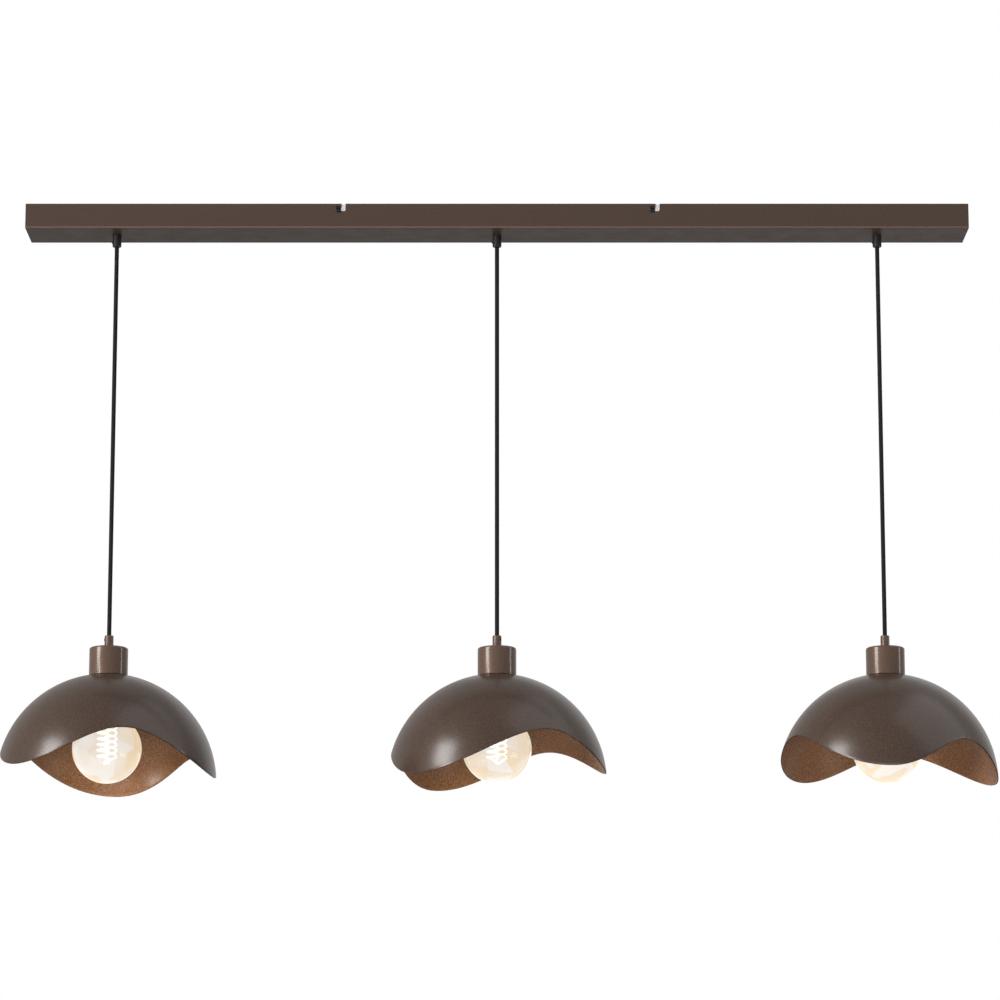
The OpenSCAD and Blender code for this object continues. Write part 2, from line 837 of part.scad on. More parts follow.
module bulb_cap(i) {
    r = cap_d / 2;
    button_r = 4.8;
    button_height = 2;
    cone_end = 1.2;
    color("#c4b184")
        on_pendant(i)
            translate([0, 0, tip_z])
                difference() {
                    union() {
                        translate([0, 0, -cap_length]) cylinder(h = cap_length - cap_shoulder, r = r);
                        translate([0, 0, -cap_shoulder])
                            cylinder(h = cap_shoulder - cone_end, r1 = r, r2 = button_r + seat);
                        translate([0, 0, -button_height]) cylinder(h = button_height, r = button_r);
                    }
                    translate([0, 0, -cap_length - over])
                        cylinder(h = cap_length - cap_shoulder + over, r = r - cap_wall);
                }
}

module bulb_stem(i) {
    plug_r = bulb_neck_d / 2 - bulb_glass - seat;
    plug_z = tip_z - neck_top;
    plug_height = 1.5;
    flare_height = 20;
    flare_low_r = 3.2;
    flare_top_r = 8;
    foot_z = coil_low_z - 0.75 * bridge_dip + coil_wire / 2 + loose;
    color("#efe6d0", 0.6)
        on_pendant(i) {
            translate([0, 0, plug_z - plug_height]) cylinder(h = plug_height, r = plug_r);
            translate([0, 0, plug_z - plug_height - flare_height])
                cylinder(h = flare_height + plug_height / 2, r1 = flare_low_r, r2 = flare_top_r);
            translate([0, 0, foot_z]) cylinder(h = plug_z - flare_height - foot_z, r = stem_rod_r);
        }
}

module filament(i) {
    color("#ffe2a0") on_pendant(i) tube(filament_path, coil_wire / 2, 6, [0, 0, 1]);
}

canopy();
bracket(-1);  // left_bracket
bracket(1);  // right_bracket
side_screws();
grip_washers();
grip_nuts();
upper_grip_screws();
terminal_block();
terminal_screws();
earth_stud();
for (i = [0 : 2]) {
    upper_grip(i);
    cord_tail(i);
    cord_flex(i);
    cord(i);
    cord_end(i);
    lower_grip(i);
    lower_grip_screw(i);
    cup(i);
    lampholder(i);
    contacts(i);
    shade_ring(i);
    shade(i);
    bulb_globe(i);
    bulb_cap(i);
    bulb_stem(i);
    filament(i);
}
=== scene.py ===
"""Pendant light with three wave-rimmed globe shades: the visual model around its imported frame."""

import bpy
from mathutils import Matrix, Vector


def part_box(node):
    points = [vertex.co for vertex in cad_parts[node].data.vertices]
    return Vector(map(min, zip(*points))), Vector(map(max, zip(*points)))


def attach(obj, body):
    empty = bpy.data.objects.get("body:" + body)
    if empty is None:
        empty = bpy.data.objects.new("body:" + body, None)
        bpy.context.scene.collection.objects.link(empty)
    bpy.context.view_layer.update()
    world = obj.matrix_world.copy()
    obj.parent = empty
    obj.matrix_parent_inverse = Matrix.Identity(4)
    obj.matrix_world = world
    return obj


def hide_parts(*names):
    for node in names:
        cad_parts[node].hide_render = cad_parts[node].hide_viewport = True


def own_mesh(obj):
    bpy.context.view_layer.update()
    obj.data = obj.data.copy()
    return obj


bl_info = {
    "name": "Wave-Rim Pendant Light",
    "version": (1, 0, 0),
    "blender": (4, 5, 0),
    "location": "View3D > Sidebar > Pendant Light",
    "description": "Dresses the pendant light: canopy, cords, grips, cups, shades, bulbs and their studio",
    "category": "Add Mesh",
}

from math import acos, asin, atan2, cos, degrees, pi, radians, sin, sqrt

import bmesh
import bpy
from mathutils import Matrix, Vector

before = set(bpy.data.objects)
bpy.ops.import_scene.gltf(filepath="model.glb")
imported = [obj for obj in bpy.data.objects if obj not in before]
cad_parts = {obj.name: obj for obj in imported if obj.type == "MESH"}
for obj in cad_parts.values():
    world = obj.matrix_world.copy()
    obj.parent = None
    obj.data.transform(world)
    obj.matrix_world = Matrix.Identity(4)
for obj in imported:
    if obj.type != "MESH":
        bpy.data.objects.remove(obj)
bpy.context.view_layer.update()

MM = 0.001
SIDES = ("left", "middle", "right")


def middle_of(box, axis):
    """Middle of a node's box along one axis."""
    return (box[0][axis] + box[1][axis]) / 2


# Heights and places that the frame gives, in metres
CORD_X = {side: middle_of(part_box(side + "_cord"), 0) for side in SIDES}
BLOCK_X = middle_of(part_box("terminal_block"), 0)
CANOPY_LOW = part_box("canopy")[0][2]
NECK_TOP_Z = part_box("middle_upper_grip")[1][2]
PIVOT_Z = middle_of(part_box("middle_cord_flex"), 2)
CORD_LOW_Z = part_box("middle_cord")[0][2]
CORD_END_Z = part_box("middle_cord_end")[0][2]
CUP_TOP_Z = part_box("middle_cup")[1][2]
CUP_LOW_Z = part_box("middle_cup")[0][2]
SHADE_TOP_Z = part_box("middle_shade")[1][2]
GLOBE_LOW_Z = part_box("middle_bulb_globe")[0][2]
NECK_END_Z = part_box("middle_bulb_globe")[1][2]
STEM_TOP_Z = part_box("middle_bulb_stem")[1][2]
STEM_FOOT_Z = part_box("middle_bulb_stem")[0][2]

# Turn of each pendant about its cord, in degrees
TURNS = {"left": 5, "middle": 140, "right": -80}

# Rim of the shade: direction counter-clockwise from the front, and height above the sphere's middle in mm
RIM_MARKS = [(10, 58.5), (77, 5), (122, 47), (175, 0), (251, 58), (309, 13.5)]
CREST_LEANNESS = 0.19

# Shade: hole in the crown, rows from it to the rim, steps round, and rounding of edges over an angle in degrees
CROWN_HOLE_R = 20.5 * MM
SHADE_ROWS, SHADE_STEPS = 48, 240
SHADE_EDGE, SHARP_EDGE = 0.3 * MM, 50

# Steps round a cup or a glass, and round a stem
ROUND_STEPS, STEM_STEPS = 128, 48

# Wires: steps from point to point of a route, and bevel resolution of a cord and of a thinner wire
WIRE_STEPS = 6
CORD_BEVEL, WIRE_BEVEL = 5, 4

# Cups: bore for the lower grip's neck, and the broken edge at the mouth
CUP_BORE_R = 5.1 * MM
CUP_LIP = 0.3 * MM

# Cords: sides of a round cord, rows along it, steps of its route, and the slit above a cord's lower end
CORD_SIDES, CORD_ROWS, ROUTE_STEPS = 24, 56, 18
CORD_SLIT = 0.00005

# Tails inside the canopy, in mm as in part.scad. The bow is (out, up) from the top of a grip's neck, and its
# foot stands on the canopy's floor. For each tail: the way that its bow leans, how far aside its foot stands,
# the side of the terminal block that it comes from, its way in the block, and its points on the floor.
BOW = [(0, 5), (0.9, 10.1), (3.5, 14.5), (7.9, 17.6), (13.4, 18.6),
       (19, 17.2), (24.6, 13.4), (31, 8), (38.6, 2.4), (49, -1.7)]
BOW_FOOT = 64
CANOPY_WALL, LOOSE = 1.2, 0.3
WAY_PITCH, BLOCK_REACH = 7, 28
TAILS = {
    "left": {"lean": 1, "aside": 4, "from": -1, "way": 1.5,
             "along": [(-440, 8), (-340, 14), (-200, 18), (-80, 18), (10, 15), (60, 1.5 * WAY_PITCH + 1)]},
    "middle": {"lean": 1, "aside": -0.5 * WAY_PITCH, "from": -1, "way": -0.5,
               "along": [((BLOCK_X - BLOCK_REACH * MM) / MM - 16, -0.5 * WAY_PITCH)]},
    "right": {"lean": -1, "aside": 4, "from": 1, "way": 1.5,
              "along": [(440, 8), (350, 12), (240, 13), (180, 11.5)]},
}

# Wire cores of the tails: radius, half of their distance in radii, places on the way into the block in mm, and
# height of the block's ways above the canopy's underside in mm
CORE_R, CORE_SPREAD = 1.1 * MM, 1.2
CORE_STOPS = (-1, 3, 13, 24)
CORE_RISE = CANOPY_WALL + 0.05 + 5

# Bulb glass: neck, and the fillet between it and the globe
BULB_NECK_R, BULB_FILLET = 12.5 * MM, 12 * MM

# Bulb stem: rod, flare and plug; the flare's start below the stem's top, its length and how fast it opens
ROD_R, FLARE_R, PLUG_R = 2.0 * MM, 8 * MM, 11.4 * MM
FLARE_DROP, FLARE_LENGTH, FLARE_CURVE = 21.5 * MM, 20 * MM, 1.6
PLUG_HEIGHT = 1.4 * MM

# Filament: lowest turn below the globe's middle, start of a strand beside the axis, and the wire; then steps
# in a turn and in the bridge between the strands, and the bridge's reach aside and down
COIL_DROP, COIL_GAP, COIL_WIRE_R = 14 * MM, 3.3 * MM, 1.0 * MM
COIL_STEPS, BRIDGE_STEPS = 36, 24
BRIDGE_REACH, BRIDGE_DIP = 12 * MM, 8 * MM

# Camera: width of the sensor in mm, and sideways shift in widths of the picture
SENSOR_WIDTH, CAMERA_SHIFT = 36, 0.003

# Floor far under the light, pale for the rays that see it and darker for its light on the shades' insides
FLOOR_Z, FLOOR_HALF = -6.5, 16.0
FLOOR_SEEN = ((0.80, 0.80, 0.80), (0.78, 0.78, 0.78))
FLOOR_LIT = (0.22, 0.22, 0.22)
FLOOR_GLOW = 0.72

# Lamps: direction from the target, size in metres and colour; the panel holds their powers by these names
LAMP_TARGET, LAMP_DISTANCE = Vector((0, 0, -0.75)), 12.0
LAMPS = {
    "key": ((-0.80, -0.47, 0.372), (3.9, 4.8), (1.0, 0.985, 0.97)),
    "low": ((-0.716, -0.600, -0.02), (2.4, 4.4), (1.0, 0.98, 0.96)),
    "top": ((0.66, -0.22, 0.72), (13.0, 13.0), (0.98, 0.99, 1.0)),
    "side": ((0.99, -0.03, 0.16), (1.3, 4.5), (0.98, 0.99, 1.0)),
    "under": ((0.80, -0.38, -0.34), (5.0, 3.0), (1.0, 0.99, 0.98)),
    "front": ((-0.10, -0.98, -0.16), (7.0, 2.5), (1.0, 0.98, 0.96)),
    "rear": ((0.30, 0.90, 0.30), (10.0, 10.0), (0.98, 0.99, 1.0)),
}

# Paints, metals and plastics. A colour is linear, or the name of one in the panel, which tint multiplies.
# grain, wear and depth are in metres.
GRAINED = {
    "shade_outside": {"colour": "bronze", "metallic": 0.2, "roughness": 0.60, "grain": 0.0016,
                      "contrast": 0.32, "depth": 0.00010, "ior": 1.1, "coat": 0.41, "coat_roughness": 0.27,
                      "edge_tint": 0.5},
    "shade_inside": {"colour": "copper", "metallic": 0.0, "roughness": 0.50, "grain": 0.0014,
                     "contrast": 0.56, "depth": 0.00016, "ior": 1.14, "coat": 0.23, "coat_roughness": 0.26,
                     "edge_tint": 0.5},
    "shade_rim": {"colour": "bronze", "tint": 0.25, "metallic": 0.0, "roughness": 0.7, "grain": 0.001,
                  "contrast": 0.1, "depth": 0.0001, "ior": 1.05},
    # The canopy's paint is 2.2 times lighter in a band along its bent lower edge, all round: a painted
    # highlight.
    "canopy_paint": {"colour": "canopy", "metallic": 0.25, "roughness": 0.45, "grain": 0.0016,
                     "contrast": 0.18, "depth": 0.00008, "ior": 1.1, "edge_tint": 0.6,
                     "edge_highlight_band": (CANOPY_LOW, CANOPY_LOW + 2 * MM)},
    "cup_bronze": {"colour": "bronze", "tint": 1.8, "metallic": 0.25, "roughness": 0.50, "grain": 0.0008,
                   "contrast": 0.35, "depth": 0.000003, "ior": 1.1, "coat": 0.32, "coat_roughness": 0.14},
    "grip_plastic": {"colour": (0.007, 0.006, 0.007), "metallic": 0.0, "roughness": 0.45, "grain": 0.0008,
                     "contrast": 0.15, "depth": 0.00005, "ior": 1.28},
    "holder_plastic": {"colour": (0.016, 0.015, 0.015), "metallic": 0.0, "roughness": 0.42, "grain": 0.001,
                       "contrast": 0.15, "depth": 0.0001},
    "zinc_steel": {"colour": (0.50, 0.51, 0.53), "metallic": 0.9, "roughness": 0.35, "grain": 0.0025,
                   "contrast": 0.12, "depth": 0.00006, "wear": 0.012},
    "black_screws": {"colour": (0.007, 0.006, 0.006), "metallic": 0.1, "roughness": 0.50, "grain": 0.0008,
                     "contrast": 0.2, "depth": 0.00006, "ior": 1.2},
    "terminal_plastic": {"colour": (0.78, 0.76, 0.70), "metallic": 0.0, "roughness": 0.4, "grain": 0.0015,
                         "contrast": 0.03, "depth": 0.00004},
    "brass": {"colour": (0.60, 0.42, 0.16), "metallic": 0.95, "roughness": 0.3, "grain": 0.0012,
              "contrast": 0.1, "depth": 0.00004},
    "cap_metal": {"colour": (0.62, 0.56, 0.42), "metallic": 0.95, "roughness": 0.25, "grain": 0.0012,
                  "contrast": 0.08, "depth": 0.00004},
    "core_brown": {"colour": (0.13, 0.055, 0.02), "metallic": 0.0, "roughness": 0.45, "grain": 0.001,
                   "contrast": 0.08, "depth": 0.00003},
    "core_blue": {"colour": (0.02, 0.07, 0.32), "metallic": 0.0, "roughness": 0.45, "grain": 0.001,
                  "contrast": 0.08, "depth": 0.00003},
}

# Glow of the bulb's glass from where it faces the viewer to its limb: place, depth of the amber, and level;
# then the size of the painted window reflections and of the uneven gloss, and the mask values at which a
# reflection is painted white or deeper amber
GLASS_GLOW = ((0.0, 0.30, 1.0), (0.25, 0.75, 1.0), (0.50, 0.95, 1.0), (0.62, 0.60, 1.0), (0.68, 2.0, 0.80),
              (0.76, 0.5, 1.0), (0.86, 0.5, 0.9), (1.0, 0.3, 0.45))
REFLECTION_SIZE, SWIRL_SIZE = 0.030, 0.034
WHITE_REFLECTION_SPAN, AMBER_REFLECTION_SPAN = (0.66, 0.68), (0.26, 0.23)
# Colour of the painted white reflections on the bulb's glass
REFLECTION_WHITE = (1.0, 0.99, 0.97)

# Finishes of the CAD nodes that are carried over: on the ceiling bar, and on each pendant
BAR_FINISHES = {
    "canopy": "canopy_paint", "left_bracket": "zinc_steel", "right_bracket": "zinc_steel",
    "grip_washers": "zinc_steel", "grip_nuts": "zinc_steel", "side_screws": "black_screws",
    "upper_grip_screws": "black_screws", "terminal_block": "terminal_plastic", "terminal_screws": "brass",
    "earth_stud": "brass",
}
PENDANT_FINISHES = {
    "upper_grip": "grip_plastic", "lower_grip": "cup_bronze", "lower_grip_screw": "black_screws",
    "lampholder": "holder_plastic", "shade_ring": "holder_plastic", "contacts": "brass",
    "bulb_cap": "cap_metal",
}


def rise(u):
    """Eases from 0 to 1 along half a cosine wave."""
    return (1 - cos(pi * u)) / 2


def rim_height(angle):
    """Height of the shade's rim above the sphere's middle, in metres, at an angle in degrees."""
    angle %= 360
    first, last = RIM_MARKS[0], RIM_MARKS[-1]
    marks = [(last[0] - 360, last[1])] + RIM_MARKS + [(first[0] + 360, first[1])]
    for (a, low), (b, high) in zip(marks, marks[1:]):
        if a <= angle <= b:
            u = (angle - a) / (b - a)
            if high < low:
                low, high, u = high, low, 1 - u
            eased = rise(u)
            eased -= CREST_LEANNESS * eased * (1 - eased)
            return (low + (high - low) * eased) * MM
    raise ValueError("no span of the rim holds %.1f degrees" % angle)


class PendantSizes(bpy.types.PropertyGroup):
    """Sizes of the pieces that the frame's boxes don't give"""
    cord_diameter: bpy.props.FloatProperty(
        name="Cord", description="Diameter of the textile cord", default=0.006, unit="LENGTH")
    shade_diameter: bpy.props.FloatProperty(
        name="Shade", description="Outside diameter of the spherical shade", default=0.300, unit="LENGTH")
    shade_wall: bpy.props.FloatProperty(
        name="Shade wall", description="Thickness of the shade's sheet", default=0.0012, unit="LENGTH")
    cup_diameter: bpy.props.FloatProperty(
        name="Cup", description="Outside diameter of the cup over the lampholder",
        default=0.0532, unit="LENGTH")
    cup_wall: bpy.props.FloatProperty(
        name="Cup wall", description="Thickness of the cup's sheet", default=0.0012, unit="LENGTH")
    cup_edge: bpy.props.FloatProperty(
        name="Cup edge", description="Radius of the cup's top edge", default=0.003, unit="LENGTH")
    bulb_diameter: bpy.props.FloatProperty(
        name="Bulb", description="Diameter of the globe bulb", default=0.095, unit="LENGTH")
    bulb_glass: bpy.props.FloatProperty(
        name="Bulb glass", description="Thickness of the bulb's glass", default=0.0008, unit="LENGTH")
    coil_diameter: bpy.props.FloatProperty(
        name="Filament spiral", description="Diameter of the filament's double spiral",
        default=0.026, unit="LENGTH")
    coil_pitch: bpy.props.FloatProperty(
        name="Filament pitch", description="Rise of each strand in one turn", default=0.016, unit="LENGTH")
    coil_turns: bpy.props.FloatProperty(
        name="Filament turns", description="Turns of each of the two strands", default=3.25)


class PendantFinishes(bpy.types.PropertyGroup):
    """Colours of the light's finishes"""
    bronze: bpy.props.FloatVectorProperty(
        name="Bronze", description="Satin bronze paint of the cups and shades",
        subtype="COLOR", size=3, default=(0.0310, 0.0188, 0.0132), min=0, max=1)
    canopy: bpy.props.FloatVectorProperty(
        name="Canopy", description="Satin bronze paint of the canopy",
        subtype="COLOR", size=3, default=(0.0430, 0.0300, 0.0244), min=0, max=1)
    copper: bpy.props.FloatVectorProperty(
        name="Copper", description="Sandy copper paint inside the shades",
        subtype="COLOR", size=3, default=(0.208, 0.098, 0.043), min=0, max=1)
    cord_black: bpy.props.FloatVectorProperty(
        name="Cord", description="Thread of the textile cord",
        subtype="COLOR", size=3, default=(0.008, 0.007, 0.008), min=0, max=1)
    amber: bpy.props.FloatVectorProperty(
        name="Bulb glass", description="Slight amber of the bulb's glass",
        subtype="COLOR", size=3, default=(1.000, 0.820, 0.600), min=0, max=1)
    glow: bpy.props.FloatVectorProperty(
        name="Filament glow", description="Colour of the lit filament",
        subtype="COLOR", size=3, default=(1.000, 0.900, 0.720), min=0, max=1)


class PendantStudio(bpy.types.PropertyGroup):
    """Camera and lamps"""
    distance: bpy.props.FloatProperty(
        name="Camera distance", description="From the camera to the plane of the cords",
        default=5.3, unit="LENGTH")
    height: bpy.props.FloatProperty(
        name="Camera height", description="Height of the camera in the light's frame",
        default=-1.493, unit="LENGTH")
    pitch: bpy.props.FloatProperty(
        name="Camera pitch", description="How far the camera looks up",
        default=radians(11.51), unit="ROTATION")
    lens: bpy.props.FloatProperty(
        name="Lens", description="Focal length in millimetres on a 36 mm sensor", default=140.7)
    key: bpy.props.FloatProperty(
        name="Key lamp", description="Power of the broad lamp at the front left", default=1900.0)
    top: bpy.props.FloatProperty(
        name="Top lamp", description="Power of the large soft lamp at the upper right", default=1000.0)
    side: bpy.props.FloatProperty(
        name="Side lamp", description="Power of the strip at the right that draws the cups' second streak",
        default=280.0)
    low: bpy.props.FloatProperty(
        name="Low lamp", description="Power of the lamp at the left that looks into the shades",
        default=1450.0)
    under: bpy.props.FloatProperty(
        name="Under lamp", description="Power of the lamp at the right that looks up into the shades",
        default=150.0)
    front: bpy.props.FloatProperty(
        name="Front lamp", description="Power of the wide low lamp in front of the light", default=600.0)
    rear: bpy.props.FloatProperty(
        name="Rear lamp", description="Power of the soft lamp behind the light", default=170.0)
    ambient: bpy.props.FloatProperty(
        name="Room light", description="Strength of the even light from all round",
        default=0.15, min=0, max=1)


def new_material(name):
    """An empty node material with its output and a principled shader."""
    material = bpy.data.materials.new(name)
    material.use_nodes = True
    nodes = material.node_tree.nodes
    nodes.clear()
    output = nodes.new("ShaderNodeOutputMaterial")
    shader = nodes.new("ShaderNodeBsdfPrincipled")
    material.node_tree.links.new(shader.outputs["BSDF"], output.inputs["Surface"])
    return material, material.node_tree, shader


def maths(tree, kind, a, b):
    """A math node on two values, each a number or a socket."""
    node = tree.nodes.new("ShaderNodeMath")
    node.operation = kind
    for socket, value in zip(node.inputs, (a, b)):
        if isinstance(value, (int, float)):
            socket.default_value = value
        else:
            tree.links.new(value, socket)
    return node.outputs["Value"]


def object_noise(tree, size, detail=2.0, roughness=0.5):
    """Noise in object coordinates whose blobs are about size metres across."""
    coords = tree.nodes.new("ShaderNodeTexCoord")
    noise = tree.nodes.new("ShaderNodeTexNoise")
    noise.inputs["Scale"].default_value = 1 / size
    noise.inputs["Detail"].default_value = detail
    noise.inputs["Roughness"].default_value = roughness
    tree.links.new(coords.outputs["Object"], noise.inputs["Vector"])
    return noise.outputs["Fac"]


def spread(tree, value, low, high, out_low, out_high):
    """Maps a value from low..high to out_low..out_high."""
    node = tree.nodes.new("ShaderNodeMapRange")
    node.inputs["From Min"].default_value = low
    node.inputs["From Max"].default_value = high
    node.inputs["To Min"].default_value = out_low
    node.inputs["To Max"].default_value = out_high
    tree.links.new(value, node.inputs["Value"])
    return node.outputs["Result"]


def blend_colours(tree, factor, a, b):
    """Mix of two colours by a factor; a colour is a tuple or a socket."""
    node = tree.nodes.new("ShaderNodeMix")
    node.data_type = "RGBA"
    node.clamp_factor = True
    tree.links.new(factor, node.inputs["Factor"])
    for socket, colour in ((node.inputs[6], a), (node.inputs[7], b)):
        if isinstance(colour, tuple):
            socket.default_value = colour + (1.0,)
        else:
            tree.links.new(colour, socket)
    return node.outputs[2]


def height_band(tree, low, high):
    """A mask that is 1 between two heights of the light's frame and 0 outside them, soft at both ends."""
    coords = tree.nodes.new("ShaderNodeTexCoord")
    parts = tree.nodes.new("ShaderNodeSeparateXYZ")
    tree.links.new(coords.outputs["Object"], parts.inputs["Vector"])
    soft, flat_face = (high - low) * 0.2, 0.00002
    above = spread(tree, parts.outputs["Z"], low + flat_face, low + soft, 0, 1)
    below = spread(tree, parts.outputs["Z"], high - soft, high, 1, 0)
    return maths(tree, "MULTIPLY", above, below)


def add_bump(tree, shader, height, strength, depth):
    """Bump from a height socket, depth metres deep."""
    bump = tree.nodes.new("ShaderNodeBump")
    bump.inputs["Strength"].default_value = strength
    bump.inputs["Distance"].default_value = depth
    tree.links.new(height, bump.inputs["Height"])
    tree.links.new(bump.outputs["Normal"], shader.inputs["Normal"])


def shaded(colour, factor):
    """A colour made darker or lighter by a factor."""
    return tuple(min(1.0, c * factor) for c in colour)


def grained(name, colour, metallic, roughness, grain, contrast, depth, wear=0.03, ior=1.45, coat=0.0,
            coat_roughness=0.3, edge_tint=1.0, edge_highlight_band=None):
    """A paint, metal or plastic with fine grain, slow colour drift and uneven gloss, and a painted highlight in
    a band where one is given.
    """
    material, tree, shader = new_material(name)
    fine = object_noise(tree, grain, 2.0, 0.6)
    slow = object_noise(tree, wear, 3.0, 0.55)
    speck = blend_colours(tree, spread(tree, fine, 0.35, 0.65, 0, 1),
                          shaded(colour, 1 - contrast), shaded(colour, 1 + contrast))
    drift = blend_colours(tree, spread(tree, slow, 0.3, 0.7, 0, 0.12), speck, shaded(colour, 0.6))
    # A band between two heights, painted lighter: a painted highlight along an edge.
    if edge_highlight_band:
        drift = blend_colours(tree, height_band(tree, *edge_highlight_band), drift, shaded(colour, 2.2))
    tree.links.new(drift, shader.inputs["Base Color"])
    gloss = spread(tree, slow, 0.3, 0.7, roughness * 0.92, roughness * 1.08)
    tree.links.new(gloss, shader.inputs["Roughness"])
    shader.inputs["Metallic"].default_value = metallic
    shader.inputs["IOR"].default_value = ior
    shader.inputs["Coat Weight"].default_value = coat
    shader.inputs["Coat Roughness"].default_value = coat_roughness
    shader.inputs["Specular Tint"].default_value = (edge_tint, edge_tint, edge_tint, 1)
    add_bump(tree, shader, fine, 0.6, depth)
    return material


def textile(name, colour, thread, around):
    """Braided thread on a cord's UV map, with painted shade in the dips between threads: u runs round the cord,
    v along it in metres.
    """
    material, tree, shader = new_material(name)
    uv = tree.nodes.new("ShaderNodeUVMap")
    uv.uv_map = "UVMap"
    parts = tree.nodes.new("ShaderNodeSeparateXYZ")
    tree.links.new(uv.outputs["UV"], parts.inputs["Vector"])
    turn = maths(tree, "MULTIPLY", parts.outputs["X"], 2 * pi * around)
    along = maths(tree, "MULTIPLY", parts.outputs["Y"], pi / thread)
    one = maths(tree, "SINE", maths(tree, "ADD", turn, along), 0)
    other = maths(tree, "SINE", maths(tree, "SUBTRACT", turn, along), 0)
    weave = maths(tree, "MULTIPLY", one, other)
    raised = maths(tree, "ADD", maths(tree, "MULTIPLY", weave, 0.5), 0.5)
    fuzz = object_noise(tree, 0.0005, 2.0, 0.7)
    slow = object_noise(tree, 0.012, 2.0, 0.5)
    # Threads painted lighter where raised and darker in the dips between them: painted shade of the weave.
    base = blend_colours(tree, spread(tree, raised, 0, 1, 0, 1), shaded(colour, 0.45), shaded(colour, 1.5))
    fuzzy = blend_colours(tree, spread(tree, fuzz, 0.4, 0.7, 0, 0.5), base, shaded(colour, 2.0))
    tree.links.new(fuzzy, shader.inputs["Base Color"])
    tree.links.new(spread(tree, slow, 0.3, 0.7, 0.7, 0.85), shader.inputs["Roughness"])
    shader.inputs["Sheen Weight"].default_value = 0.02
    shader.inputs["Sheen Roughness"].default_value = 0.4
    shader.inputs["IOR"].default_value = 1.12
    add_bump(tree, shader, raised, 0.8, 0.0003)
    return material


def painted_reflections(tree, size):
    """Rounded patches of one value each, about size metres across: a mask for painted reflections of the
    windows that a bulb mirrors.
    """
    coords = tree.nodes.new("ShaderNodeTexCoord")
    noise = tree.nodes.new("ShaderNodeTexNoise")
    noise.inputs["Scale"].default_value = 1 / size
    noise.inputs["Detail"].default_value = 0.0
    bend = tree.nodes.new("ShaderNodeVectorMath")
    bend.operation = "MULTIPLY_ADD"
    bend.inputs[1].default_value = (size * 0.8,) * 3
    cells = tree.nodes.new("ShaderNodeTexVoronoi")
    cells.inputs["Scale"].default_value = 1 / size
    parts = tree.nodes.new("ShaderNodeSeparateColor")
    tree.links.new(coords.outputs["Object"], noise.inputs["Vector"])
    tree.links.new(noise.outputs["Color"], bend.inputs[0])
    tree.links.new(coords.outputs["Object"], bend.inputs[2])
    tree.links.new(bend.outputs["Vector"], cells.inputs["Vector"])
    tree.links.new(cells.outputs["Color"], parts.inputs["Color"])
    return parts.outputs["Red"]


def lit_glass(name, amber, alpha, strength):
    """Thin glass of a lit bulb: a pale glow, deeper amber where it turns away, and painted window reflections.
    """
    material, tree, shader = new_material(name)
    facing = tree.nodes.new("ShaderNodeLayerWeight")
    facing.inputs["Blend"].default_value = 0.5
    ramp = tree.nodes.new("ShaderNodeValToRGB")
    while len(ramp.color_ramp.elements) < len(GLASS_GLOW):
        ramp.color_ramp.elements.new(0.5)
    for element, (place, depth, level) in zip(ramp.color_ramp.elements, GLASS_GLOW):
        element.position = place
        element.color = tuple(level * (1 - (1 - c) * depth) for c in amber) + (1,)
    tree.links.new(facing.outputs["Facing"], ramp.inputs["Fac"])
    swirl = object_noise(tree, SWIRL_SIZE, 0.6, 0.4)
    # Painted reflections: patches of the glow and of the base colour are painted white or deeper amber.
    reflection_mask = painted_reflections(tree, REFLECTION_SIZE)
    pale = blend_colours(tree, spread(tree, reflection_mask, *WHITE_REFLECTION_SPAN, 0, 0.85), ramp.outputs["Color"], REFLECTION_WHITE)
    deep = tuple(1 - (1 - c) * 1.2 for c in amber)
    glow = blend_colours(tree, spread(tree, reflection_mask, *AMBER_REFLECTION_SPAN, 0, 0.75), pale, deep)
    tree.links.new(glow, shader.inputs["Emission Color"])
    body = blend_colours(tree, spread(tree, reflection_mask, *WHITE_REFLECTION_SPAN, 0, 1),
                         shaded(amber, 0.12), shaded(amber, 0.15))
    tree.links.new(body, shader.inputs["Base Color"])
    tree.links.new(spread(tree, swirl, 0.3, 0.7, 0.02, 0.05), shader.inputs["Roughness"])
    shader.inputs["IOR"].default_value = 1.5
    shader.inputs["Alpha"].default_value = alpha
    shader.inputs["Emission Strength"].default_value = strength
    return material


def glowing(name, colour, strength, drop):
    """A lit filament or rod, a little dimmer in places."""
    material, tree, shader = new_material(name)
    patches = object_noise(tree, 0.006, 2.0, 0.5)
    for socket, factor in (("Emission Color", drop), ("Base Color", 0.8)):
        mixed = blend_colours(tree, spread(tree, patches, 0.35, 0.65, 0, 1), colour, shaded(colour, factor))
        tree.links.new(mixed, shader.inputs[socket])
    shader.inputs["Emission Strength"].default_value = strength
    shader.inputs["Roughness"].default_value = 0.4
    return material


MADE = {}


def finish_material(key):
    """The light's material of that name, made once."""
    if key not in MADE:
        MADE[key] = make_finish(key)
    return MADE[key]


def make_finish(key):
    """Makes one of the light's materials from the tables and the panel's colours."""
    colours = bpy.context.scene.pendant_finishes
    if key in GRAINED:
        values = dict(GRAINED[key])
        colour, tint = values.pop("colour"), values.pop("tint", 1.0)
        if isinstance(colour, str):
            colour = shaded(tuple(getattr(colours, colour)), tint)
        return grained(key, colour, **values)
    if key == "textile_cord":
        return textile(key, tuple(colours.cord_black), thread=0.0016, around=8)
    if key == "bulb_glass":
        return lit_glass(key, tuple(colours.amber), alpha=0.52, strength=0.76)
    if key == "stem_glass":
        return glowing(key, (1.0, 0.95, 0.85), strength=0.95, drop=0.9)
    if key == "filament_glow":
        return glowing(key, tuple(colours.glow), strength=3.0, drop=0.85)
    raise ValueError("no finish is named " + key)


